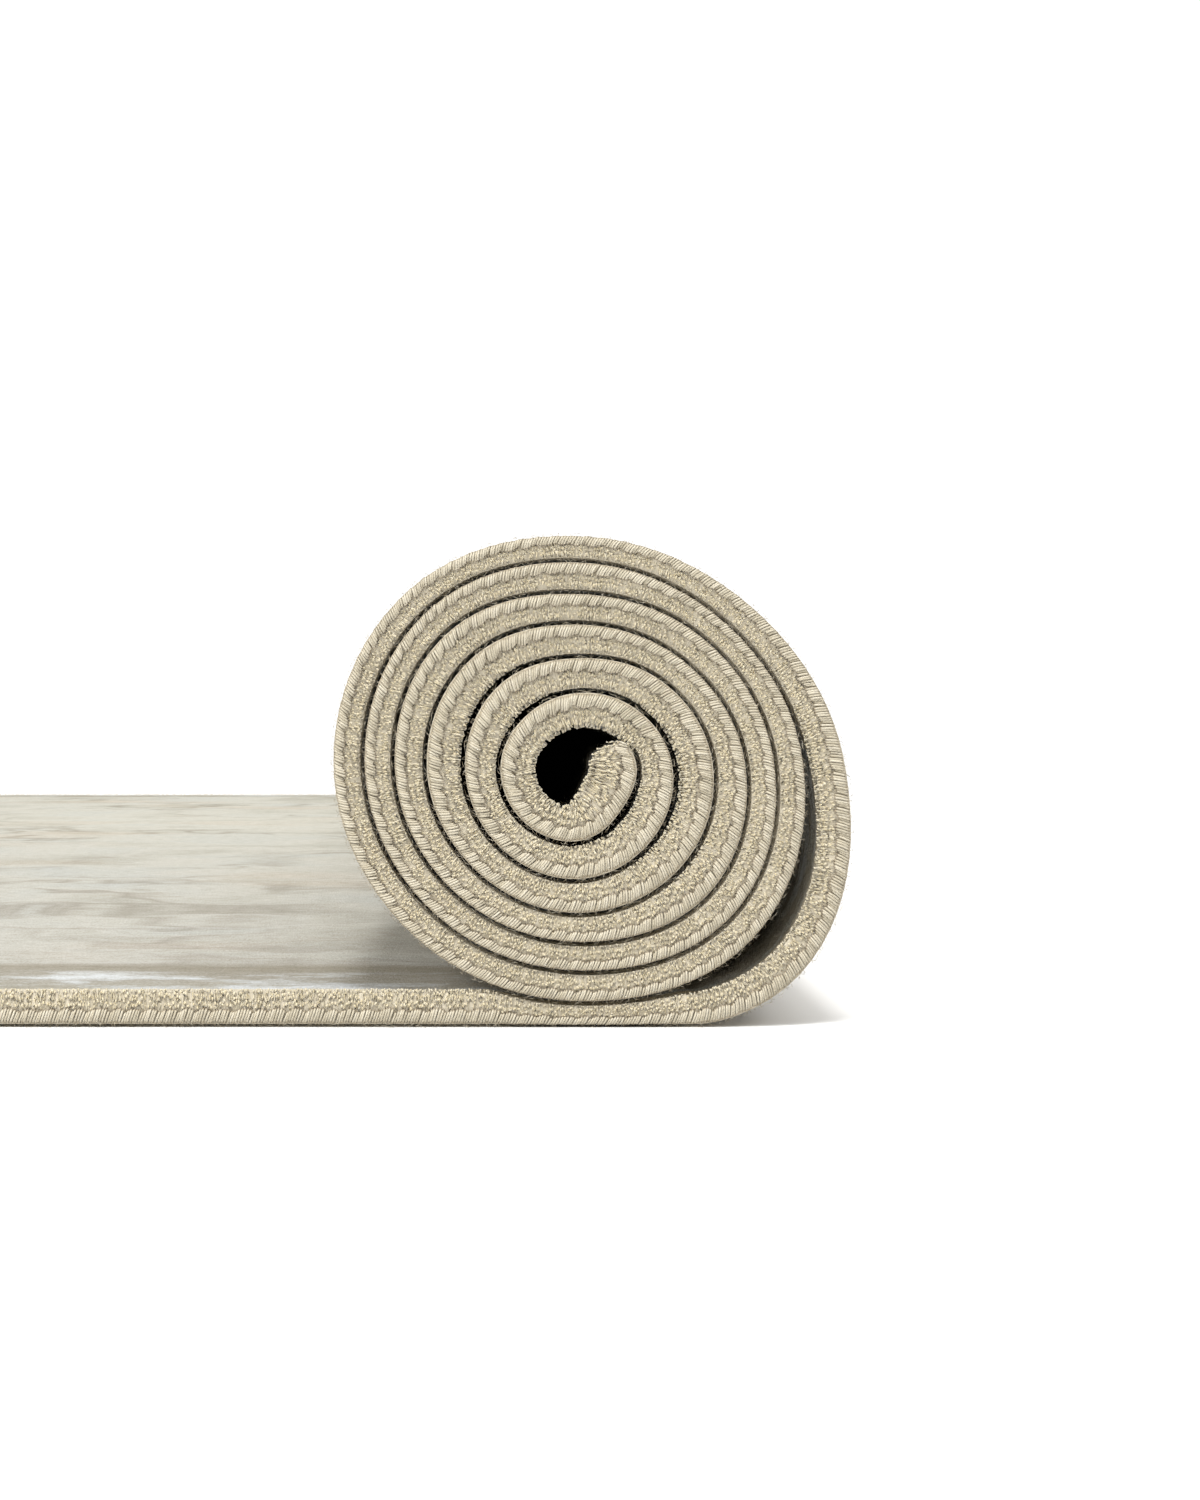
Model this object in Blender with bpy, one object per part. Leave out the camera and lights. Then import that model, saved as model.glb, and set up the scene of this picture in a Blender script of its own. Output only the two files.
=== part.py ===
"""A pile carpet wound into a roll, with its last stretch left flat on the floor.

The winding is a spiral of the carpet's back face, swept with the carpet's section. X runs from the
flat end to the roll, Y along the roll, and Z up from the floor.
"""

import math

import bpy
import bmesh

MM = 0.001

# The carpet as cut.
CUT_LENGTH = 2400.0
CUT_WIDTH = 1600.0
FREE_THICKNESS = 9.2  # backing and pile, where nothing presses on it
PILE_EDGE_ROUND = 0.3  # as a share of the pile's height over the edging

# The yarn edging sewn round all four sides. The pile overhangs it.
EDGING_DEPTH = 4.5
EDGING_SHARE = 0.52  # of the carpet's thickness
EDGING_ROUND = 0.3  # as a share of the edging's own thickness
PILE_SETBACK = 0.5

PIECE_GAP = 0.3
TURN_GAP = 0.5

# Radius of the carpet's back face about the roll's axis, a row per turn from the outermost in.
STEP_NAMES = ("bottom", "lower_right", "right", "upper_right", "top", "upper_left", "left", "lower_left")
TURNS = (
    # bottom, lower_right, right, upper_right, top, upper_left, left, lower_left
    (68.9, 80.7, 70.5, 61.8, 60.8, 65.0, 65.5, 63.4),
    (62.9, 65.2, 59.5, 54.0, 53.9, 57.6, 57.3, 55.4),
    (54.8, 57.1, 51.9, 47.2, 45.6, 49.8, 49.4, 47.7),
    (47.3, 48.7, 44.3, 39.3, 37.6, 40.6, 41.0, 39.7),
    (39.7, 38.6, 35.8, 31.6, 28.8, 30.5, 30.9, 30.9),
    (30.8, 28.1, 25.1, 21.6, 19.7, 19.8, 21.6, 21.8),
    (20.8, 16.8, 15.7, 13.2, 11.0, 9.0, 9.0, 9.0),
)
AXIS_HEIGHT = TURNS[0][0]
INNER_END = 6.32  # turns from the bottom of the outermost one

# Next to the hollow core nothing holds the pile, so it spreads towards the inner end.
SPREAD_FROM = 5.93
SPREAD_OVER = 0.17  # turns
SPREAD = 3.6

STATIONS_PER_TURN = 32
UNDER_ROLL_STATIONS = (-8.0, -16.0, -24.0, -32.0, -40.0, -48.0, -56.0, -68.0)

COLOURS = {
    "pile": (0.62, 0.59, 0.52, 1.0),
    "edging_yarn": (0.70, 0.65, 0.56, 1.0),
}


def back_radius(turned):
    """Radius of the back face where the carpet has gone round by this many turns."""
    knots = [radius for turn in TURNS for radius in turn]
    place = min(max(turned * len(STEP_NAMES), 0.0), len(knots) - 1.001)
    first = int(place)
    t = place - first
    before, after = knots[max(first - 1, 0)], knots[min(first + 2, len(knots) - 1)]
    a, b = knots[first], knots[first + 1]
    rise_a, rise_b = (b - before) / 2, (after - a) / 2
    radius = (
        a * (2 * t**3 - 3 * t**2 + 1)
        + rise_a * (t**3 - 2 * t**2 + t)
        + b * (3 * t**2 - 2 * t**3)
        + rise_b * (t**3 - t**2)
    )
    downwards = math.cos(2 * math.pi * turned)
    if turned < 0.5 and downwards > 0.01:
        radius = min(radius, AXIS_HEIGHT / downwards)  # the floor flattens the outermost turn
    return radius


def wound_thickness(turned):
    """Thickness where the next turn in presses on the pile, or the free thickness."""
    if turned + 1 > INNER_END:
        part = min(max((turned - SPREAD_FROM) / SPREAD_OVER, 0.0), 1.0)
        return FREE_THICKNESS + SPREAD * part**2 * (3 - 2 * part)
    room = back_radius(turned) - back_radius(turned + 1) - TURN_GAP
    return min(FREE_THICKNESS, room)


def flat_thickness(x):
    """Thickness of the flat stretch, which the roll above it presses on near its line of contact."""
    room = FREE_THICKNESS
    for step in range(0, 73):
        turned = 1.0 - step / 288
        radius, angle = back_radius(turned), 2 * math.pi * turned
        across = radius * math.sin(angle)
        if abs(across - x) < 3.0:
            room = min(room, AXIS_HEIGHT - radius * math.cos(angle) - TURN_GAP)
    return room


def station(x=None, turned=None):
    """(back point, direction towards the pile, thickness) on the flat stretch or in the roll."""
    if turned is None:
        return (x, 0.0), (0.0, 1.0), flat_thickness(x)
    angle, radius = 2 * math.pi * turned, back_radius(turned)
    across, up = math.sin(angle), math.cos(angle)
    return (radius * across, AXIS_HEIGHT - radius * up), (-across, up), wound_thickness(turned)


def wound_length():
    """Length of the back face from the bottom of the outermost turn to the inner end."""
    steps = 4096
    points = [station(turned=INNER_END * i / steps)[0] for i in range(steps + 1)]
    return sum(math.dist(a, b) for a, b in zip(points, points[1:]))


def turns_back_from_end(length):
    """Where the carpet is this far from its inner end, in turns."""
    turned, step = INNER_END, 0.0005
    while length > 0:
        a, b = station(turned=turned)[0], station(turned=turned - step)[0]
        length -= math.dist(a, b)
        turned -= step
    return turned


FLAT_END = -(CUT_LENGTH - wound_length())
OVERHANG = EDGING_DEPTH + PIECE_GAP


def path(inset):
    """Stations from the flat end to the inner one, starting and stopping this far short of them."""
    last = turns_back_from_end(inset) if inset else INNER_END
    stations = [station(x=FLAT_END + inset)]
    stations += [station(x=x) for x in reversed(UNDER_ROLL_STATIONS)]
    count = int(last * STATIONS_PER_TURN + 0.6)
    stations += [station(turned=i / STATIONS_PER_TURN) for i in range(count)]
    stations.append(station(turned=last))
    return stations


def section(at, outline):
    """A closed loop of points: the outline's (y, height over the back face) carried to a station."""
    (x, z), (across, up), _ = at
    return [((x + across * h) * MM, (y - CUT_WIDTH / 2) * MM, (z + up * h) * MM) for y, h in outline]


def edging_height(thickness):
    """The edging is pressed as the carpet is, but stays as it is where only the pile spreads."""
    return EDGING_SHARE * min(thickness, FREE_THICKNESS)


def body_outline(thickness, backed):
    """The carpet's section. Unbacked, it is only the pile that overhangs the end's edging."""
    front, rear = PILE_SETBACK, CUT_WIDTH - PILE_SETBACK
    shelf = edging_height(thickness) + PIECE_GAP
    low = 0.0 if backed else shelf
    r = (thickness - shelf) * PILE_EDGE_ROUND
    return [
        (OVERHANG, low),
        (OVERHANG, shelf),
        (front, shelf),
        (front, thickness - r),
        (front + r, thickness),
        (rear - r, thickness),
        (rear, thickness - r),
        (rear, shelf),
        (CUT_WIDTH - OVERHANG, shelf),
        (CUT_WIDTH - OVERHANG, low),
    ]


def side_bead_outline(thickness, near, far):
    """The edging from this long side in to `far`, rounded where it is open to view."""
    top = edging_height(thickness)
    r = top * EDGING_ROUND
    inwards = math.copysign(r, far - near)
    return [(near + inwards, 0.0), (near, r), (near, top - r), (near + inwards, top), (far, top), (far, 0.0)]


def end_bead_outline(thickness):
    """The edging across an end, between the two long sides' beads."""
    near, far, top = OVERHANG, CUT_WIDTH - OVERHANG, edging_height(thickness)
    return [(near, 0.0), (near, top), (far, top), (far, 0.0)]


def solid(name, loops, slot):
    """One closed body swept through its loops, capped at both ends."""
    mesh = bmesh.new()
    rings = [[mesh.verts.new(point) for point in loop] for loop in loops]
    size = len(rings[0])
    for ring, after in zip(rings, rings[1:]):
        for i in range(size):
            j = (i + 1) % size
            mesh.faces.new((ring[i], after[i], after[j], ring[j]))
    mesh.faces.new(rings[0])
    mesh.faces.new(reversed(rings[-1]))
    bmesh.ops.remove_doubles(mesh, verts=mesh.verts, dist=1e-7)
    bmesh.ops.dissolve_degenerate(mesh, edges=mesh.edges, dist=1e-7)
    bmesh.ops.recalc_face_normals(mesh, faces=mesh.faces)
    data = bpy.data.meshes.new(name)
    mesh.to_mesh(data)
    mesh.free()
    made = bpy.data.objects.new(name, data)
    data.materials.append(material(slot))
    collection.objects.link(made)
    return made


def material(slot):
    found = bpy.data.materials.get(slot)
    if found is None:
        found = bpy.data.materials.new(slot)
        found.use_nodes = True
        shader = found.node_tree.nodes["Principled BSDF"]
        shader.inputs["Base Color"].default_value = COLOURS[slot]
        shader.inputs["Roughness"].default_value = 0.95
    return found


for old in list(bpy.data.objects):
    bpy.data.objects.remove(old)
collection = bpy.data.collections.new("rolled_carpet")
bpy.context.scene.collection.children.link(collection)

# The carpet itself: one body from the flat end to the inner one. Its backing stops short of each
# end, where the edging is, and its pile goes on to the end.
whole = path(0)
backed = path(OVERHANG)
loops = [section(whole[0], body_outline(whole[0][2], False))]
loops += [section(backed[0], body_outline(backed[0][2], False))]
loops += [section(at, body_outline(at[2], True)) for at in backed]
loops += [section(backed[-1], body_outline(backed[-1][2], False))]
past = turns_back_from_end(OVERHANG / 2)
for at in (station(turned=past), whole[-1]):
    loops.append(section(at, body_outline(at[2], False)))
solid("carpet", loops, "pile")

# The edging along both long sides follows the winding from end to end.
for name, near, far in (
    ("edging_front", 0.0, EDGING_DEPTH),
    ("edging_rear", CUT_WIDTH, CUT_WIDTH - EDGING_DEPTH),
):
    solid(name, [section(at, side_bead_outline(at[2], near, far)) for at in whole], "edging_yarn")

# The edging across each end lies between those two.
flat_end = [station(x=FLAT_END + part * EDGING_DEPTH) for part in (0.0, 1.0)]
inner_end = [station(turned=turns_back_from_end(part * EDGING_DEPTH)) for part in (1.0, 0.5, 0.0)]
for name, stations in (("edging_flat_end", flat_end), ("edging_inner_end", inner_end)):
    solid(name, [section(at, end_bead_outline(at[2])) for at in stations], "edging_yarn")

# The origin goes to the middle of the base.
corners = [vertex.co for item in collection.objects for vertex in item.data.vertices]
middle = (min(c.x for c in corners) + max(c.x for c in corners)) / 2
for item in collection.objects:
    for vertex in item.data.vertices:
        vertex.co.x -= middle
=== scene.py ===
import math

import bmesh
import bpy
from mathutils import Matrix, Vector


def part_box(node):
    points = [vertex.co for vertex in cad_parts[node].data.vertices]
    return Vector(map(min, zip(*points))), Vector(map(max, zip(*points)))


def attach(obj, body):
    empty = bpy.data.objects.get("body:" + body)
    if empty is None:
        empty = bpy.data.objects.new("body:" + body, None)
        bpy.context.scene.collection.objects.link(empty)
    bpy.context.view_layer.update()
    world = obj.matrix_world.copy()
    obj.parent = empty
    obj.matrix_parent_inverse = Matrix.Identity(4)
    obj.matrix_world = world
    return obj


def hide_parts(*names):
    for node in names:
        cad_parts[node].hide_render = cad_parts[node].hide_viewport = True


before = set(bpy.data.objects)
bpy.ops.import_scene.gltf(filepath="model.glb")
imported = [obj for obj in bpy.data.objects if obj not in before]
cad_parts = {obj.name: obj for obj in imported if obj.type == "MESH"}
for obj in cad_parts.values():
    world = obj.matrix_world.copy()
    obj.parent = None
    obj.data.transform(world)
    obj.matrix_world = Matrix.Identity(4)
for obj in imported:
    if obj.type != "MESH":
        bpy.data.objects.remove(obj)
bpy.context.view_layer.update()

# ---- The carpet -----------------------------------------------------------------------------
# A machine-made carpet, 1.6 by 2.4 m, of soft cut pile on a woven cotton backing. It is wound up
# with its pile inwards, so that its back is the outside of the roll, and its last stretch lies flat.
CUT_WIDTH, CUT_LENGTH = 1.6, 2.4
FREE_THICKNESS = 0.0092
TURN_GAP = 0.0003
UNBOUNDED = 1.0  # the room over the pile where no turn lies over it
PROUD_TIPS = 0.0010  # how far the edge's tufts stand over the pile where nothing presses on them
BEAD_SHARE = 0.465  # height of the overcast bead to that of the carpet
LOOSE_FROM = 0.04  # height over the floor from which the cloth is free to wave

# Radius of the carpet's back in mm, a row per turn from the outermost in.
TURNS = (
    # bottom, lower_right, right, upper_right, top, upper_left, left, lower_left
    (68.9, 80.7, 70.5, 61.8, 60.8, 65.0, 65.5, 63.4),
    (62.9, 65.2, 59.5, 54.0, 53.9, 57.6, 57.3, 55.4),
    (54.8, 57.1, 51.9, 47.2, 45.6, 49.8, 49.4, 47.7),
    (47.3, 48.7, 44.3, 39.3, 37.6, 40.6, 41.0, 39.7),
    (39.7, 38.6, 35.8, 31.6, 28.8, 30.5, 30.9, 30.9),
    (30.8, 28.1, 25.1, 21.6, 19.7, 19.8, 21.6, 21.8),
    (20.8, 16.8, 15.7, 13.2, 11.0, 9.0, 9.0, 9.0),
)
AXIS_HEIGHT = TURNS[0][0] / 1000
INNER_END = 6.32  # turns from the bottom of the outermost one
SPREAD_FROM, SPREAD_OVER, SPREAD = 5.93, 0.17, 0.0036  # the pile loosens beside the hollow core
FAN_OVER, FAN = 0.010, 0.45  # and fans out past the carpet's end, by this angle in radians
ROUND_OVER, ROUND = 0.008, 0.60  # where it is shorn round, by this share of its height


def back_radius(turned):
    """Radius of the carpet's back where it has gone round by this many turns."""
    knots = [radius / 1000 for turn in TURNS for radius in turn]
    place = min(max(turned * len(TURNS[0]), 0.0), len(knots) - 1.001)
    first = int(place)
    t = place - first
    before, after = knots[max(first - 1, 0)], knots[min(first + 2, len(knots) - 1)]
    a, b = knots[first], knots[first + 1]
    radius = (
        a * (2 * t**3 - 3 * t**2 + 1)
        + (b - before) / 2 * (t**3 - 2 * t**2 + t)
        + b * (3 * t**2 - 2 * t**3)
        + (after - a) / 2 * (t**3 - t**2)
    )
    downwards = math.cos(2 * math.pi * turned)
    if turned < 0.5 and downwards > 0.01:
        radius = min(radius, AXIS_HEIGHT / downwards)  # the floor flattens the outermost turn
    return radius


def pressed(room, free=FREE_THICKNESS):
    """(thickness, height of the edge's tips over it) of the carpet in the room that it has."""
    return min(free, room - TURN_GAP), min(max(room - TURN_GAP - free, 0.0), PROUD_TIPS)


def wound_station(turned):
    """(point of the back, direction to the roll's axis, thickness, tips), in the roll's section."""
    angle, radius = 2 * math.pi * turned, back_radius(turned)
    towards = Vector((-math.sin(angle), 0, math.cos(angle)))
    room, free = UNBOUNDED, FREE_THICKNESS
    if turned + 1 > INNER_END:
        part = min(max((turned - SPREAD_FROM) / SPREAD_OVER, 0.0), 1.0)
        free += SPREAD * part**2 * (3 - 2 * part)
    else:
        room = radius - back_radius(turned + 1)
    return (Vector((0, 0, AXIS_HEIGHT)) - towards * radius, towards, *pressed(room, free))


def room_over_flat(x):
    """Room over the flat stretch, which the roll presses on near the line where it lies."""
    steps_per_turn, nearby = 576, 0.0015
    over = [wound_station(1 - step / steps_per_turn)[0] for step in range(steps_per_turn // 4)]
    return min([point.z for point in over if abs(point.x - x) < nearby], default=UNBOUNDED)


WOUND_STEPS = 640
wound = [wound_station(INNER_END * i / WOUND_STEPS) for i in range(WOUND_STEPS + 1)]
wound_length = sum((b[0] - a[0]).length for a, b in zip(wound, wound[1:]))
FLAT_LENGTH = CUT_LENGTH - wound_length
FLAT_STEP = 0.006
flat_places = [-FLAT_LENGTH + FLAT_STEP * i for i in range(int(FLAT_LENGTH / FLAT_STEP))]
laid = [(Vector((x, 0, 0)), Vector((0, 0, 1)), *pressed(room_over_flat(x))) for x in flat_places]

# The roll's place in the frame comes from the CAD edging: its flat end and its front and rear.
edge_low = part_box("edging_front")[0]
roll_place = Vector((edge_low.x + FLAT_LENGTH, edge_low.y, 0))
REAR_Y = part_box("edging_rear")[1].y
FRONT_Y = edge_low.y


def winding():
    """The carpet's back from the flat end to the inner one, with its pile's direction and height."""
    rows = laid + wound
    stations, along = [], 0.0
    for i, (point, towards, thickness, tips) in enumerate(rows):
        run = rows[min(i + 1, len(rows) - 1)][0] - rows[max(i - 1, 0)][0]
        tangent = run.normalized()
        up = Vector((-tangent.z, 0, tangent.x))
        if i:
            along += (point - rows[i - 1][0]).length
        fan = FAN * min(max(1 - (CUT_LENGTH - along) / FAN_OVER, 0.0), 1.0)
        part = min(max(1 - (CUT_LENGTH - along) / ROUND_OVER, 0.0), 1.0)
        thickness *= 1 - ROUND * (1 - math.sqrt(1 - part**2))
        leaning = up * math.cos(fan) + tangent * math.sin(fan)
        stations.append((point + roll_place, leaning, thickness * up.dot(towards), along, tips))
    return stations


STATIONS = winding()


def line_object(name, stations):
    """A line of the stations' points that carries the pile's direction and heights for the trees."""
    mesh = bpy.data.meshes.new(name)
    points, sides, thicknesses, lengths, tips = zip(*stations)
    uppers = list(zip(thicknesses, tips))
    mesh.from_pydata(points, [(i, i + 1) for i in range(len(points) - 1)], [])
    for label, kind, values in (
        ("pile_side", "FLOAT_VECTOR", [tuple(side) for side in sides]),
        ("thickness", "FLOAT", thicknesses),
        ("along", "FLOAT", lengths),
        ("pile_top", "FLOAT", [thickness + tip for thickness, tip in uppers]),
        ("bead", "FLOAT", [BEAD_SHARE * (min(thick, FREE_THICKNESS) + tip) for thick, tip in uppers]),
        ("loose", "FLOAT", [min(max(point.z / LOOSE_FROM, 0.0), 1.0) for point in points]),
    ):
        attribute = mesh.attributes.new(label, kind, "POINT")
        for i, value in enumerate(values):
            if kind == "FLOAT":
                attribute.data[i].value = value
            else:
                attribute.data[i].vector = value
    made = bpy.data.objects.new(name, mesh)
    bpy.context.scene.collection.objects.link(made)
    return made


def add_node(tree, kind, inputs=None, **settings):
    """A node with its settings, each input given by name or number as a value or as a socket."""
    made = tree.nodes.new(kind)
    for label, value in settings.items():
        setattr(made, label, value)
    for key, value in (inputs or {}).items():
        if isinstance(value, bpy.types.NodeSocket):
            tree.links.new(value, made.inputs[key])
        else:
            made.inputs[key].default_value = value
    return made


def maths(tree, operation, a, b=0.0, clamp=False):
    made = add_node(tree, "ShaderNodeMath", {0: a, 1: b}, operation=operation, use_clamp=clamp)
    return made.outputs[0]


def vectors(tree, operation, a, b, key=1):
    made = add_node(tree, "ShaderNodeVectorMath", {0: a, key: b}, operation=operation)
    return made.outputs["Vector"]


def read(tree, label, kind="FLOAT"):
    made = add_node(tree, "GeometryNodeInputNamedAttribute", {"Name": label}, data_type=kind)
    return made.outputs["Attribute"]


def new_tree(name, sockets):
    """A geometry tree with its named inputs, and the node that they come in by."""
    tree = bpy.data.node_groups.new(name, "GeometryNodeTree")
    tree.interface.new_socket("Geometry", in_out="OUTPUT", socket_type="NodeSocketGeometry")
    for label, kind in (("Line", "Geometry"), *sockets):
        tree.interface.new_socket(label, in_out="INPUT", socket_type="NodeSocket" + kind)
    return tree, tree.nodes.new("NodeGroupInput")


def end_tree(tree, geometry):
    tree.links.new(geometry, tree.nodes.new("NodeGroupOutput").inputs[0])


def grown(name, line, tree, values):
    """The piece that a tree makes of a line, as a plain mesh with no modifier left."""
    modifier = line.modifiers.new(tree.name, "NODES")
    modifier.node_group = tree
    for item in tree.interface.items_tree:
        if item.name in values:
            modifier[item.identifier] = values[item.name]
    graph = bpy.context.evaluated_depsgraph_get()
    mesh = bpy.data.meshes.new_from_object(line.evaluated_get(graph), preserve_all_data_layers=True,
                                           depsgraph=graph)
    mesh.name = name
    line.modifiers.remove(modifier)
    bpy.data.meshes.remove(line.data)
    made = bpy.data.objects.new(name, mesh)
    bpy.context.scene.collection.objects.link(made)
    return made


def weave_carpet_tree():
    """A sheet between the two long edges, laid along the line, with the pile raised from it."""
    tree, given = new_tree("wound carpet", (
        ("Columns", "Int"), ("Width", "Float"), ("Set in", "Float"), ("Backing lift", "Float"),
        ("Roll waves", "Float"), ("Pile waves", "Float"), ("Pile finish", "Material"),
        ("Backing finish", "Material")))
    line, columns = given.outputs["Line"], given.outputs["Columns"]
    size = add_node(tree, "GeometryNodeAttributeDomainSize", {"Geometry": line})
    grid = add_node(tree, "GeometryNodeMeshGrid",
                    {"Vertices X": size.outputs["Point Count"], "Vertices Y": columns})
    index = add_node(tree, "GeometryNodeInputIndex").outputs[0]
    station = add_node(tree, "FunctionNodeIntegerMath", {0: index, 1: columns},
                       operation="DIVIDE_FLOOR").outputs[0]
    column = add_node(tree, "FunctionNodeIntegerMath", {0: index, 1: columns},
                      operation="MODULO").outputs[0]
    across = maths(tree, "DIVIDE", column, maths(tree, "SUBTRACT", columns, 1.0))

    def sampled(field, kind):
        made = add_node(tree, "GeometryNodeSampleIndex",
                        {"Geometry": line, "Value": field, "Index": station}, data_type=kind)
        return made.outputs[0]

    place_on_line = sampled(add_node(tree, "GeometryNodeInputPosition").outputs[0], "FLOAT_VECTOR")
    side = sampled(read(tree, "pile_side", "FLOAT_VECTOR"), "FLOAT_VECTOR")
    thickness = sampled(read(tree, "thickness"), "FLOAT")
    along = sampled(read(tree, "along"), "FLOAT")
    loose = sampled(read(tree, "loose"), "FLOAT")
    inside = maths(tree, "SUBTRACT", given.outputs["Width"],
                   maths(tree, "MULTIPLY", given.outputs["Set in"], 2.0))
    y = maths(tree, "ADD", given.outputs["Set in"], maths(tree, "MULTIPLY", across, inside))
    shift = add_node(tree, "ShaderNodeCombineXYZ", {"Y": y}).outputs[0]

    # Every turn shares the roll's slight waves, so that none cuts its neighbour. They fade at the edges.
    waves_y = maths(tree, "MULTIPLY", y, 3.5)
    wave_spot = add_node(tree, "ShaderNodeCombineXYZ", {"Y": waves_y}).outputs[0]
    wave = add_node(tree, "ShaderNodeTexNoise", {"Vector": vectors(tree, "ADD", side, wave_spot),
                                                 "Scale": 1.0, "Detail": 1.0}).outputs[0]
    fade = maths(tree, "MULTIPLY", across, maths(tree, "SUBTRACT", 1.0, across))
    fade = maths(tree, "MULTIPLY", fade, 12.0, clamp=True)
    wave = maths(tree, "MULTIPLY", maths(tree, "SUBTRACT", wave, 0.5), given.outputs["Roll waves"])
    wave = maths(tree, "MULTIPLY", maths(tree, "MULTIPLY", wave, fade), loose)
    lift = maths(tree, "ADD", wave, given.outputs["Backing lift"])
    spot = vectors(tree, "ADD", vectors(tree, "ADD", place_on_line, shift),
                   vectors(tree, "SCALE", side, lift, "Scale"))
    sheet = add_node(tree, "GeometryNodeSetPosition",
                     {"Geometry": grid.outputs["Mesh"], "Position": spot})
    nap = add_node(tree, "ShaderNodeCombineXYZ", {"X": maths(tree, "MULTIPLY", along, 9.0),
                                                  "Y": maths(tree, "MULTIPLY", y, 24.0)}).outputs[0]
    nap = add_node(tree, "ShaderNodeTexNoise", {"Vector": nap, "Scale": 1.0, "Detail": 2.0}).outputs[0]
    worn = maths(tree, "SUBTRACT", 1.0, maths(tree, "MULTIPLY", nap, given.outputs["Pile waves"]))
    rise = maths(tree, "MULTIPLY", thickness, worn)
    rise = maths(tree, "SUBTRACT", rise, given.outputs["Backing lift"])
    geometry = sheet.outputs[0]
    flat_place = add_node(tree, "ShaderNodeCombineXYZ", {"X": along, "Y": y}).outputs[0]
    for label, kind, domain, value in (
        ("raise", "FLOAT_VECTOR", "POINT", vectors(tree, "SCALE", side, rise, "Scale")),
        ("flat place", "FLOAT_VECTOR", "POINT", flat_place),
    ):
        geometry = add_node(tree, "GeometryNodeStoreNamedAttribute",
                            {"Geometry": geometry, "Name": label, "Value": value},
                            data_type=kind, domain=domain).outputs[0]
    geometry = add_node(tree, "GeometryNodeStoreNamedAttribute",
                        {"Geometry": geometry, "Name": "UVMap",
                         "Value": read(tree, "flat place", "FLOAT_VECTOR")},
                        data_type="FLOAT2", domain="CORNER").outputs[0]
    top = add_node(tree, "GeometryNodeExtrudeMesh",
                   {"Mesh": geometry, "Offset Scale": 0.0, "Individual": False})
    raised = add_node(tree, "GeometryNodeSetPosition",
                      {"Geometry": top.outputs["Mesh"], "Selection": top.outputs["Top"],
                       "Offset": read(tree, "raise", "FLOAT_VECTOR")}).outputs[0]
    back = add_node(tree, "GeometryNodeStoreNamedAttribute",
                    {"Geometry": geometry, "Name": "back", "Value": True},
                    data_type="BOOLEAN", domain="FACE").outputs[0]
    back = add_node(tree, "GeometryNodeFlipFaces", {"Mesh": back}).outputs[0]
    both = add_node(tree, "GeometryNodeJoinGeometry")
    tree.links.new(raised, both.inputs[0])
    tree.links.new(back, both.inputs[0])
    whole = add_node(tree, "GeometryNodeMergeByDistance",
                     {"Geometry": both.outputs[0], "Distance": 1e-5})
    smooth = add_node(tree, "GeometryNodeSetShadeSmooth", {"Geometry": whole.outputs[0]}).outputs[0]
    real = add_node(tree, "GeometryNodeRealizeInstances", {"Geometry": smooth}).outputs[0]
    piled = add_node(tree, "GeometryNodeSetMaterial",
                     {"Geometry": real, "Material": given.outputs["Pile finish"]}).outputs[0]
    backed = add_node(tree, "GeometryNodeSetMaterial",
                      {"Geometry": piled, "Selection": read(tree, "back", "BOOLEAN"),
                       "Material": given.outputs["Backing finish"]}).outputs[0]
    end_tree(tree, backed)
    return tree


def finish(name, roughness, sheen):
    """A dull textile material. Returns it, its tree and its shader."""
    made = bpy.data.materials.new(name)
    made.use_nodes = True
    shader = made.node_tree.nodes["Principled BSDF"]
    shader.inputs["Roughness"].default_value = roughness
    shader.inputs["Specular IOR Level"].default_value = 0.1
    shader.inputs["Sheen Weight"].default_value = sheen
    shader.inputs["Sheen Roughness"].default_value = 0.5
    return made, made.node_tree, shader


def noise(tree, spot, scale, detail=2.0, roughness=0.5):
    inputs = {"Vector": spot, "Scale": scale, "Detail": detail, "Roughness": roughness}
    return add_node(tree, "ShaderNodeTexNoise", inputs).outputs[0]


def shades(tree, factor, stops):
    """Colours along a factor, each given as (place, (red, green, blue)) in sRGB from 0 to 255."""
    ramp = add_node(tree, "ShaderNodeValToRGB", {0: factor})
    for i, (spot, colour) in enumerate(stops):
        stop = ramp.color_ramp.elements[i] if i < 2 else ramp.color_ramp.elements.new(spot)
        stop.position = spot
        stop.color = (*((c / 255) ** 2.2 for c in colour), 1.0)
    return ramp.outputs[0]


def blend(tree, way, amount, a, b):
    made = add_node(tree, "ShaderNodeMix", {0: amount, 6: a, 7: b}, data_type="RGBA", blend_type=way)
    return made.outputs[2]


def amounts(tree, value, start, steepness, falling=False):
    """0 up to a start and then rising steeply to 1, or 1 falling to 0 at it."""
    off = (start, value) if falling else (value, start)
    return maths(tree, "MULTIPLY", maths(tree, "SUBTRACT", *off), steepness, clamp=True)


def flat_coordinates(tree, per_metre_along, per_metre_across):
    uv = add_node(tree, "ShaderNodeUVMap", uv_map="UVMap").outputs[0]
    scale = (per_metre_along, per_metre_across, 1.0)
    return add_node(tree, "ShaderNodeMapping", {"Vector": uv, "Scale": scale}).outputs[0]


def bump(tree, shader, height, distance, strength=1.0):
    made = add_node(tree, "ShaderNodeBump",
                    {"Height": height, "Distance": distance, "Strength": strength})
    tree.links.new(made.outputs[0], shader.inputs["Normal"])


BORDER, SILVER, BAND = 0.0105, 0.046, 0.066  # how far from the edge each of these reaches


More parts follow.
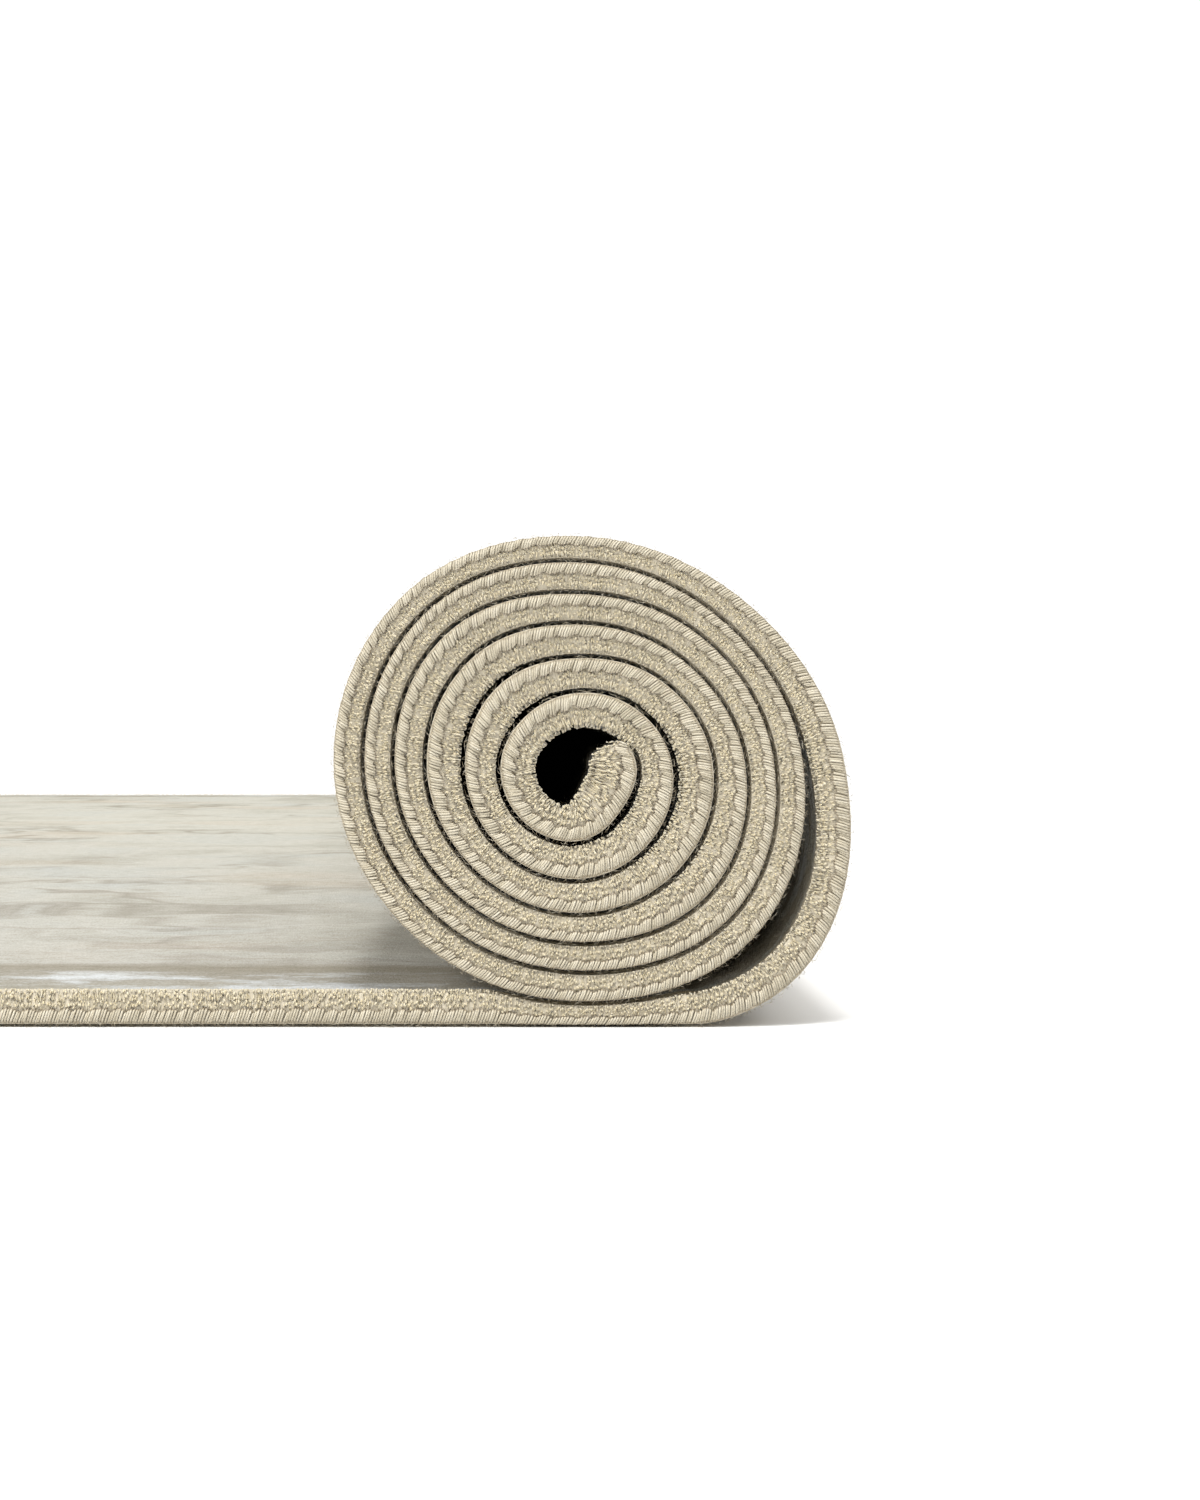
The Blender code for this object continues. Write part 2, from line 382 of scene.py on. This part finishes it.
def pile_finish():
    """Cut pile of wool and silver viscose, tufted in a marbled drift that runs along the carpet."""
    made, tree, shader = finish("marbled cut pile", 1.0, 0.0)
    metres = add_node(tree, "ShaderNodeSeparateXYZ", {0: flat_coordinates(tree, 1.0, 1.0)})
    along, across = metres.outputs["X"], metres.outputs["Y"]

    def pattern(per_metre_along, per_metre_across, detail, roughness, seed):
        spot = flat_coordinates(tree, per_metre_along, per_metre_across)
        return noise(tree, vectors(tree, "ADD", spot, (seed, seed, 0)), 1.0, detail, roughness)

    drift = maths(tree, "SUBTRACT", pattern(3.0, 7.0, 3.0, 0.6, 1.3), 0.5)
    bent_across = maths(tree, "ADD", maths(tree, "MULTIPLY", across, 10.0),
                        maths(tree, "MULTIPLY", drift, 3.0))
    bent = add_node(tree, "ShaderNodeCombineXYZ",
                    {"X": maths(tree, "MULTIPLY", along, 8.0), "Y": bent_across}).outputs[0]
    colour = shades(tree, noise(tree, bent, 1.0, 4.0, 0.58), (
        (0.26, (170, 167, 158)), (0.76, (191, 193, 191)), (0.38, (187, 185, 176)),
        (0.50, (200, 198, 190)), (0.62, (195, 195, 189))))
    blush = shades(tree, pattern(5.0, 9.0, 2.0, 0.5, 8.1),
                   ((0.54, (255, 255, 255)), (0.70, (255, 243, 233))))
    colour = blend(tree, "MULTIPLY", 0.6, colour, blush)

    # Thin taupe veins run where a slow noise crosses its middle, and fade in and out.
    slow = noise(tree, vectors(tree, "ADD", bent, (3.0, 9.0, 0.0)), 0.8, 3.0, 0.6)
    vein = maths(tree, "ABSOLUTE", maths(tree, "SUBTRACT", slow, 0.5))
    vein = maths(tree, "SUBTRACT", 1.0, maths(tree, "MULTIPLY", vein, 28.0), clamp=True)
    faded = amounts(tree, pattern(6.0, 6.0, 1.0, 0.5, 4.7), 0.42, 5.0)
    vein = maths(tree, "MULTIPLY", maths(tree, "MULTIPLY", vein, faded), 0.6)
    colour = blend(tree, "MIX", vein, colour, (0.30, 0.27, 0.22, 1))

    # Beside the edge comes a plain cream border, then a band of taupe with drifts of silver viscose.
    off_middle = maths(tree, "ABSOLUTE", maths(tree, "SUBTRACT", across, CUT_WIDTH / 2))
    to_edge = maths(tree, "SUBTRACT", CUT_WIDTH / 2, off_middle)
    wander = maths(tree, "ADD", to_edge, maths(tree, "MULTIPLY", drift, 0.035))
    inside = amounts(tree, wander, BAND, 90.0, falling=True)
    band = shades(tree, maths(tree, "MULTIPLY", wander, 15.0),
                  ((0.10, (182, 178, 166)), (0.85, (160, 154, 140)), (0.45, (176, 172, 162))))
    silver = amounts(tree, pattern(14.0, 34.0, 6.0, 0.75, 5.5), 0.46, 9.0)
    near = amounts(tree, wander, SILVER, 120.0, falling=True)
    band = blend(tree, "MIX", maths(tree, "MULTIPLY", silver, near), band, (0.72, 0.745, 0.76, 1))
    colour = blend(tree, "MIX", inside, colour, band)
    # Painted light: the pile is drawn darker near the front edge and paler over its first metre towards
    # the rear.
    painted_light_to_rear = shades(tree, across, ((0.08, (230, 230, 230)), (1.0, (255, 255, 252))))
    colour = blend(tree, "MULTIPLY", 1.0, colour, painted_light_to_rear)
    border = amounts(tree, to_edge, BORDER, 400.0, falling=True)
    colour = blend(tree, "MIX", border, colour, (0.64, 0.58, 0.46, 1))

    tips = pattern(1100.0, 1100.0, 2.0, 0.65, 0.4)
    clumps = pattern(160.0, 260.0, 2.0, 0.6, 2.9)
    speckle = maths(tree, "ADD", maths(tree, "MULTIPLY", tips, 0.65),
                    maths(tree, "MULTIPLY", clumps, 0.35))
    speckled = shades(tree, speckle, ((0.36, (204, 200, 190)), (0.62, (255, 255, 255))))
    colour = blend(tree, "MULTIPLY", 0.8, colour, speckled)
    tree.links.new(colour, shader.inputs["Base Color"])
    bump(tree, shader, speckle, 0.0012, 0.8)
    return made


def backing_finish():
    """Undyed cotton and jute, woven in fine ribs that the pile's tufts are tied through."""
    made, tree, shader = finish("woven backing", 0.9, 0.1)

    def waves(axis, per_metre_along, per_metre_across):
        spot = flat_coordinates(tree, per_metre_along, per_metre_across)
        return add_node(tree, "ShaderNodeTexWave", {"Vector": spot, "Scale": 1.0, "Distortion": 0.0},
                        bands_direction=axis).outputs[1]

    ribs, knots = waves("X", 105.0, 0.0), waves("Y", 0.0, 130.0)
    slub = noise(tree, flat_coordinates(tree, 260.0, 60.0), 1.0, 3.0)
    drift = noise(tree, flat_coordinates(tree, 5.0, 9.0), 1.0, 3.0)
    weave = maths(tree, "ADD", maths(tree, "MULTIPLY", ribs, 0.7), maths(tree, "MULTIPLY", knots, 0.3))
    colour = shades(tree, weave, ((0.1, (172, 165, 149)), (0.8, (202, 196, 183))))
    slubs = shades(tree, slub, ((0.3, (214, 204, 186)), (0.7, (255, 252, 246))))
    drifts = shades(tree, drift, ((0.3, (228, 222, 210)), (0.7, (255, 255, 255))))
    colour = blend(tree, "MULTIPLY", 0.6, colour, slubs)
    colour = blend(tree, "MULTIPLY", 0.5, colour, drifts)
    tree.links.new(colour, shader.inputs["Base Color"])
    bump(tree, shader, maths(tree, "ADD", weave, maths(tree, "MULTIPLY", slub, 0.4)), 0.0004)
    return made


carpet = grown("carpet_cloth", line_object("carpet line", STATIONS), weave_carpet_tree(), {
    "Columns": 25, "Width": CUT_WIDTH, "Set in": 0.0013, "Backing lift": 0.0008, "Roll waves": 0.003,
    "Pile waves": 0.06, "Pile finish": pile_finish(), "Backing finish": backing_finish()})
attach(carpet, "root")
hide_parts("carpet")

# ---- The overcast edges ---------------------------------------------------------------------
# All four edges are bound with a soft twisted yarn, stitched over and over the backing's rim. The
# machine lays its strands in slanting bundles, whose ends make a scalloped seam along the pile.
STRAND_PITCH = 0.00073
HIDDEN_PITCH = 1.2 * STRAND_PITCH  # of the edges out of sight, whose yarn is plainer
BUNDLE_LENGTH = 0.0047
SCALLOP = 0.21  # rise and fall of the seam, to the height of the bead
DRAWN_BEAD = 4.8  # height in mm of the rim that the strand's rings are drawn on


def thread(name, rings, sides, tall, crinkle=0.0):
    """A closed thread through rings of (x, y, z, radius) in mm, with its height as shares of tall.

    Crinkle turns every other ring, by that share of the angle between two corners.
    """
    mesh = bmesh.new()
    rise = mesh.verts.layers.float.new("rise")
    path = [Vector(ring[:3]) for ring in rings]
    loops = []
    for i, ring in enumerate(rings):
        run = (path[min(i + 1, len(path) - 1)] - path[max(i - 1, 0)]).normalized()
        across = run.cross(Vector((1, 0.01, 0))).normalized()
        other = across.cross(run)
        loop = []
        for k in range(sides):
            turn = 2 * math.pi * (k + crinkle * (i % 2)) / sides
            spot = path[i] + (across * math.cos(turn) + other * math.sin(turn)) * ring[3]
            loop.append(mesh.verts.new((spot.x / 1000, spot.y / 1000, spot.z / tall)))
            loop[-1][rise] = i / (len(rings) - 1)
        loops.append(loop)
    for a, b in zip(loops, loops[1:]):
        for k in range(sides):
            mesh.faces.new((a[k], a[(k + 1) % sides], b[(k + 1) % sides], b[k]))
    mesh.faces.new(loops[0][::-1])
    mesh.faces.new(loops[-1])
    bmesh.ops.recalc_face_normals(mesh, faces=mesh.faces)
    for face in mesh.faces:
        face.smooth = True
    made = bpy.data.objects.new(name, bpy.data.meshes.new(name))
    mesh.to_mesh(made.data)
    mesh.free()
    bpy.context.scene.collection.objects.link(made)
    return made


def edge_tree():
    """Sets one thread again and again along an edge, upright on the backing."""
    tree, given = new_tree("worked edge", (
        ("Thread", "Object"), ("Pitch", "Float"), ("Reversed", "Bool"), ("Starts at", "Float"),
        ("To pile top", "Float"), ("Bundle length", "Float"), ("Seam shift", "Float"),
        ("Scallop", "Float"),
        ("Notch depth", "Float"), ("Depth", "Float"), ("Depth spread", "Float"),
        ("Height spread", "Float"), ("Lift spread", "Float"), ("Up the pile", "Float"),
        ("Stray", "Float"), ("Lean", "Float"), ("Turn", "Float"), ("Seed", "Int"),
        ("Finish", "Material")))
    value = given.outputs

    def scatter(low, high, number):
        seed = maths(tree, "ADD", value["Seed"], float(number))
        return add_node(tree, "FunctionNodeRandomValue", {2: low, 3: high, "Seed": seed},
                        data_type="FLOAT").outputs[1]

    def times(a, b):
        return maths(tree, "MULTIPLY", a, b)

    curve = add_node(tree, "GeometryNodeMeshToCurve", {"Mesh": value["Line"]}).outputs[0]
    turned = add_node(tree, "GeometryNodeReverseCurve", {"Curve": curve}).outputs[0]
    curve = add_node(tree, "GeometryNodeSwitch",
                     {"Switch": value["Reversed"], "False": curve, "True": turned},
                     input_type="GEOMETRY").outputs[0]
    curve = add_node(tree, "GeometryNodeResampleCurve", {"Curve": curve, "Length": value["Pitch"]},
                     mode="LENGTH").outputs[0]
    side = read(tree, "pile_side", "FLOAT_VECTOR")
    bead, top, along = (read(tree, label) for label in ("bead", "pile_top", "along"))
    tangent = add_node(tree, "GeometryNodeInputTangent").outputs[0]
    facing = add_node(tree, "FunctionNodeAxesToRotation",
                      {"Primary Axis": side, "Secondary Axis": tangent},
                      primary_axis="Z", secondary_axis="X").outputs[0]

    # Bundles of uneven length: arch is 1 near the middle of each, and 0 at both of its ends.
    uneven = add_node(tree, "ShaderNodeTexNoise", {"W": times(along, 70.0), "Scale": 1.0},
                      noise_dimensions="1D").outputs[0]
    bundles = maths(tree, "SUBTRACT", along, value["Seam shift"])
    bundles = maths(tree, "DIVIDE", bundles, value["Bundle length"])
    phase = maths(tree, "ADD", bundles, times(uneven, 1.1))
    in_bundle = maths(tree, "POWER", maths(tree, "FRACT", phase), 1.3)
    off_middle = maths(tree, "ABSOLUTE", maths(tree, "SUBTRACT", times(in_bundle, 2.0), 1.0))
    arch = maths(tree, "SUBTRACT", 1.0, maths(tree, "POWER", off_middle, 2.4))
    fullness = add_node(tree, "FunctionNodeRandomValue",
                        {2: 0.75, 3: 1.3, "ID": maths(tree, "FLOOR", phase), "Seed": 3},
                        data_type="FLOAT").outputs[1]
    swell = times(value["Scallop"], maths(tree, "SUBTRACT", times(arch, fullness), 0.75))
    seam = times(bead, maths(tree, "ADD", 1.0, swell))

    start = times(seam, value["Starts at"])
    whole_pile = maths(tree, "SUBTRACT", top, seam)
    pile = times(value["To pile top"], whole_pile)
    height = maths(tree, "SUBTRACT", maths(tree, "ADD", seam, pile), start)
    shorter = times(scatter(0.0, 1.0, 2), value["Height spread"])
    height = times(height, maths(tree, "SUBTRACT", 1.0, shorter))
    deep = maths(tree, "ADD", value["Depth"], times(scatter(0.0, 1.0, 3), value["Depth spread"]))
    deep = maths(tree, "ADD", deep, times(value["Notch depth"], maths(tree, "SUBTRACT", 1.0, arch)))
    away = times(scatter(-1.0, 1.0, 4), value["Stray"])
    up_to = maths(tree, "ADD", value["Lift spread"], times(value["Up the pile"], whole_pile))
    lift = maths(tree, "ADD", start, times(scatter(0.0, 1.0, 9), up_to))
    local = add_node(tree, "ShaderNodeCombineXYZ", {"X": away, "Y": deep, "Z": lift}).outputs[0]
    shift = add_node(tree, "FunctionNodeRotateVector", {"Vector": local, "Rotation": facing}).outputs[0]
    tone = scatter(0.0, 1.0, 5)
    for label, kind, field in (("facing", "QUATERNION", facing), ("tone", "FLOAT", tone)):
        curve = add_node(tree, "GeometryNodeStoreNamedAttribute",
                         {"Geometry": curve, "Name": label, "Value": field},
                         data_type=kind, domain="POINT").outputs[0]
    curve = add_node(tree, "GeometryNodeSetPosition", {"Geometry": curve, "Offset": shift}).outputs[0]

    lean = add_node(tree, "ShaderNodeCombineXYZ", {
        "X": times(scatter(-1.0, 1.0, 6), value["Lean"]),
        "Y": times(scatter(-1.0, 1.0, 7), value["Lean"]),
        "Z": times(scatter(-1.0, 1.0, 8), value["Turn"])}).outputs[0]
    lean = add_node(tree, "FunctionNodeEulerToRotation", {"Euler": lean}).outputs[0]
    rotation = add_node(tree, "FunctionNodeRotateRotation",
                        {"Rotation": read(tree, "facing", "QUATERNION"), "Rotate By": lean},
                        rotation_space="LOCAL").outputs[0]
    shape = add_node(tree, "GeometryNodeObjectInfo", {"Object": value["Thread"]}).outputs["Geometry"]
    scale = add_node(tree, "ShaderNodeCombineXYZ", {"X": 1.0, "Y": 1.0, "Z": height}).outputs[0]
    threads = add_node(tree, "GeometryNodeInstanceOnPoints",
                       {"Points": curve, "Instance": shape, "Rotation": rotation,
                        "Scale": scale}).outputs[0]
    real = add_node(tree, "GeometryNodeRealizeInstances", {"Geometry": threads}).outputs[0]
    end_tree(tree, add_node(tree, "GeometryNodeSetMaterial",
                            {"Geometry": real, "Material": value["Finish"]}).outputs[0])
    return tree


EDGE_TREE = edge_tree()


def edge_line(edge):
    """The line of one edge's backing, drawn so that the carpet lies to the left of its run."""
    if edge in ("front", "rear"):
        y = 0.0 if edge == "front" else REAR_Y - FRONT_Y
        return [(point + Vector((0, y, 0)), *rest) for point, *rest in STATIONS]
    point, up, thickness, _, tips = STATIONS[0 if edge == "flat end" else -1]
    steps, corner = 400, 0.004
    ends = (FRONT_Y + corner, REAR_Y - corner)
    first, last = ends[::-1] if edge == "flat end" else ends
    return [(Vector((point.x, first + (last - first) * i / steps, point.z)), up, thickness,
             CUT_WIDTH * i / steps, tips) for i in range(steps + 1)]


def worked(name, edge, shape, finish_of_it, **values):
    """One edge's threads, as a piece. The values left out are 0."""
    settings = {"Thread": shape, "Reversed": edge == "rear", "Finish": finish_of_it,
                "Bundle length": BUNDLE_LENGTH, **values}
    return grown(name, line_object(name, edge_line(edge)), EDGE_TREE, settings)


def threads_own(tree):
    """A thread's own tone, how far up it a point lies, and where that point is."""
    tone, rise = (add_node(tree, "ShaderNodeAttribute", attribute_name=label).outputs["Fac"]
                  for label in ("tone", "rise"))
    return tone, rise, add_node(tree, "ShaderNodeTexCoord").outputs["Object"]


def yarn_finish():
    """Warm beige yarn, each strand a little lighter or darker, with its plies' fine twist."""
    made, tree, shader = finish("overcasting yarn", 1.0, 0.4)
    tone, rise, spot = threads_own(tree)
    fuzz = noise(tree, spot, 1500.0, 3.0, 0.6)
    patches = noise(tree, spot, 45.0, 2.0)
    mixed = maths(tree, "ADD", maths(tree, "MULTIPLY", fuzz, 0.35),
                  maths(tree, "MULTIPLY", patches, 0.3))
    mixed = maths(tree, "ADD", maths(tree, "MULTIPLY", tone, 0.35), mixed)
    colour = shades(tree, mixed, ((0.25, (187, 177, 154)), (0.75, (219, 210, 189)),
                                  (0.5, (203, 193, 170))))
    # Painted shade: each strand is drawn dark brown at its underside, where it comes from under the rim,
    # and darker at its end, where it dives into the seam.
    painted_shade_ends = shades(tree, rise, ((0.0, (84, 68, 46)), (1.0, (140, 116, 80)), (0.2, (186, 172, 146)),
                              (0.36, (255, 255, 255)), (0.80, (255, 255, 255)), (0.93, (164, 142, 106))))
    tree.links.new(blend(tree, "MULTIPLY", 0.8, colour, painted_shade_ends), shader.inputs["Base Color"])
    bump(tree, shader, fuzz, 0.0003)
    return made


# A strand comes from under the rim, slants up the edge, and dives into the pile at the seam.
STRAND = (
    # along, deep, high, radius
    (-1.00, 3.2, 1.15, 0.31),
    (-0.75, 1.05, 1.25, 0.33),
    (-0.45, 0.45, 2.00, 0.33),
    (0.00, 0.36, 3.15, 0.33),
    (0.35, 0.50, 4.30, 0.32),
    (0.50, 1.80, 4.85, 0.28),
)
yarn = yarn_finish()
fine_strand = thread("fine strand", STRAND, 3, DRAWN_BEAD)
plain_strand = thread("plain strand", STRAND[:2] + STRAND[3:], 3, DRAWN_BEAD)
for node, edge, shape in (("edging_front", "front", fine_strand), ("edging_rear", "rear", plain_strand),
                          ("edging_flat_end", "flat end", plain_strand),
                          ("edging_inner_end", "inner end", plain_strand)):
    binding = worked(node.replace("edging", "overcasting"), edge, shape, yarn, **{
        "Pitch": STRAND_PITCH if edge == "front" else HIDDEN_PITCH, "Scallop": SCALLOP,
        "Notch depth": 0.00025, "Depth": -0.0001, "Depth spread": 0.0001, "Height spread": 0.03,
        "Lift spread": 0.0001, "Stray": 0.00005, "Lean": 0.03, "Turn": 0.05, "Seed": 11})
    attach(binding, "root")
    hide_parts(node)

# ---- The pile's cut edge --------------------------------------------------------------------
# Over the seam stands the pile's own last row: tufts of crinkled wool, tied through the backing as
# the rest of the pile is, with short curls of the same wool that have worked loose among them.


def tuft_finish():
    """The pile's own cream wool seen from the side, with painted shade that makes it a little darker and
    browner at its root.
    """
    made, tree, shader = finish("tuft sides", 1.0, 0.4)
    shader.inputs["Subsurface Weight"].default_value = 0.3
    shader.inputs["Subsurface Radius"].default_value = (1.0, 0.9, 0.7)
    shader.inputs["Subsurface Scale"].default_value = 0.0009
    tone, rise, spot = threads_own(tree)
    crinkle = noise(tree, spot, 1900.0, 2.0, 0.65)
    mixed = maths(tree, "ADD", maths(tree, "MULTIPLY", tone, 0.4), maths(tree, "MULTIPLY", crinkle, 0.6))
    colour = shades(tree, mixed, ((0.28, (202, 188, 156)), (0.72, (220, 208, 180)),
                                  (0.5, (212, 199, 169))))
    # Painted shade: the tuft is drawn darker and browner towards its root, where the pile around it
    # would shade it.
    root = shades(tree, rise, ((0.0, (140, 116, 80)), (0.15, (255, 255, 255)), (0.05, (212, 196, 166))))
    tree.links.new(blend(tree, "MULTIPLY", 0.8, colour, root), shader.inputs["Base Color"])
    bump(tree, shader, crinkle, 0.0001)
    return made


TUFT = (
    # along, deep, high, radius
    (0.0, 0.0, 0.0, 0.15),
    (0.10, 0.08, 0.7, 0.25),
    (-0.09, 0.10, 1.4, 0.17),
    (0.12, -0.12, 2.2, 0.28),
    (-0.12, -0.10, 3.1, 0.18),
    (0.03, 0.02, 4.0, 0.32),
)
CURL = ((0.0, 0.15, 0.0, 0.16), (0.10, -0.02, 0.45, 0.36), (0.0, 0.1, 1.0, 0.22))
TUFT_TALL, CURL_TALL = 4.0, 1.2
wool = tuft_finish()
fine_tuft = thread("fine tuft", TUFT, 3, TUFT_TALL, crinkle=0.5)
plain_tuft = thread("plain tuft", TUFT[:1] + TUFT[2:4] + TUFT[5:], 3, TUFT_TALL, crinkle=0.5)
curl = thread("curl", CURL, 3, CURL_TALL, crinkle=0.5)
TUFT_ROWS = (
    # name, edge, shape, pitch, depth, depth spread, height spread, lean, seed
    ("pile_edge_front", "front", fine_tuft, 0.00042, 0.0012, 0.0004, 0.08, 0.12, 23),
    ("pile_edge_front_curls", "front", curl, 0.0002, 0.0010, 0.0005, 0.30, 0.3, 29),
    ("pile_edge_rear", "rear", plain_tuft, 0.00060, 0.0006, 0.0016, 0.15, 0.2, 31),
    ("pile_edge_flat_end", "flat end", plain_tuft, 0.00060, 0.0006, 0.0016, 0.15, 0.2, 33),
    ("pile_edge_inner_end", "inner end", plain_tuft, 0.00060, 0.0006, 0.0016, 0.15, 0.2, 35),
)
for name, edge, shape, pitch, depth, depth_spread, height_spread, lean, seed in TUFT_ROWS:
    pile_share, climb = (0.26, 0.72) if shape is curl else (0.98, 0.0)
    tufts = worked(name, edge, shape, wool, **{
        "Pitch": pitch, "Starts at": 0.97, "To pile top": pile_share, "Up the pile": climb,
        "Seam shift": 0.0008, "Scallop": SCALLOP, "Depth": depth, "Depth spread": depth_spread,
        "Height spread": height_spread, "Lift spread": 0.0001, "Stray": 0.0005, "Lean": lean,
        "Turn": 3.14, "Seed": seed})
    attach(tufts, "root")
    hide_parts("carpet")

# ---- The stray fibres -----------------------------------------------------------------------
# Single hairs of the edge's yarn, teased out of it where two turns rub together. Each is still held
# in its strand by one end, and stands off into the gap.
FIBRE = ((0.0, 0.0, 0.0, 0.05), (0.25, -0.2, 0.6, 0.05), (0.1, -0.5, 1.3, 0.04), (0.5, -0.6, 1.9, 0.03))
FIBRE_TALL = 1.9
fibre = thread("fibre", FIBRE, 3, FIBRE_TALL)
fibres = worked("stray_fibres", "front", fibre, yarn, **{
    "Pitch": 0.0009, "Depth": 0.0006, "Depth spread": 0.0016, "Height spread": 0.7, "Stray": 0.0012,
    "Lean": 1.2, "Turn": 3.14, "Seed": 37})
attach(fibres, "root")
for shape in (fine_strand, plain_strand, fine_tuft, plain_tuft, curl, fibre):
    bpy.data.objects.remove(shape)

# ---- The camera and the studio --------------------------------------------------------------
# The roll stands end on to a level camera, on a plain white floor under a broad soft light, with a
# weaker light from each side. The sky is plain too, and brighter behind the roll than before it.
VIEW_HEIGHT = 0.393  # metres of the roll's end from the view's bottom to its top
DISTANCE = 0.508
SENSOR = 36
camera = bpy.data.objects.new("camera", bpy.data.cameras.new("camera"))
bpy.context.scene.collection.objects.link(camera)
camera.location = (roll_place.x - 0.017, FRONT_Y - DISTANCE, AXIS_HEIGHT + 0.0086)
camera.rotation_euler = (math.radians(90), 0, 0)
camera.data.sensor_width = SENSOR
camera.data.lens = SENSOR * DISTANCE / VIEW_HEIGHT
camera.data.shift_x, camera.data.shift_y = 17 / 300, -0.012
camera.data.clip_start = 0.01
bpy.context.scene.camera = camera

FAR = 60
floor_mesh = bpy.data.meshes.new("studio_floor")
floor_mesh.from_pydata([(-FAR, -FAR, 0), (FAR, -FAR, 0), (FAR, FAR, 0), (-FAR, FAR, 0)], [],
                       [(0, 1, 2, 3)])
floor = bpy.data.objects.new("studio_floor", floor_mesh)
bpy.context.scene.collection.objects.link(floor)
white, white_tree, white_shader = finish("white floor", 0.8, 0.0)
white_shader.inputs["Base Color"].default_value = (0.8, 0.8, 0.795, 1)
floor_mesh.materials.append(white)

world = bpy.data.worlds.new("studio")
world.use_nodes = True
sky = world.node_tree
ray = add_node(sky, "ShaderNodeTexCoord").outputs["Generated"]
towards_back = add_node(sky, "ShaderNodeSeparateXYZ", {0: ray}).outputs["Y"]
glow = maths(sky, "MULTIPLY", maths(sky, "ADD", towards_back, 0.35), 1.6, clamp=True)
glow = maths(sky, "ADD", 0.15, maths(sky, "MULTIPLY", glow, 1.05))
# The sky lights the roll unevenly, but the background is white on every side that it is seen from.
seen = add_node(sky, "ShaderNodeLightPath").outputs["Is Camera Ray"]
glow = maths(sky, "MAXIMUM", glow, maths(sky, "MULTIPLY", seen, 1.1))
sky.nodes["Background"].inputs["Color"].default_value = (1.0, 1.0, 1.0, 1)
sky.links.new(glow, sky.nodes["Background"].inputs["Strength"])
bpy.context.scene.world = world
SUN_WIDTH, LEAN_FORWARD = 14.0, 17  # degrees
for name, lean_right, strength in (("overhead", -1.0, 2.0), ("overhead right", 13.0, 0.4)):
    lamp = bpy.data.lights.new(name, "SUN")
    lamp.angle, lamp.energy = math.radians(SUN_WIDTH), strength
    held = bpy.data.objects.new(name, lamp)
    held.rotation_euler = (math.radians(LEAN_FORWARD), math.radians(lean_right), 0)
    bpy.context.scene.collection.objects.link(held)
ROLL_END = Vector((0.28, -0.8, 0.05))
for name, spot, power in (("fill right", (1.3, -1.6, 1.5), 9), ("fill left", (-0.9, -1.7, 1.1), 19)):
    lamp = bpy.data.lights.new(name, "AREA")
    lamp.size, lamp.energy = 0.7, power
    held = bpy.data.objects.new(name, lamp)
    held.location = spot
    held.rotation_euler = (ROLL_END - held.location).to_track_quat("-Z", "Y").to_euler()
    bpy.context.scene.collection.objects.link(held)
bpy.context.scene.view_settings.view_transform = "Standard"
bpy.context.scene.view_settings.look = "Medium Contrast"
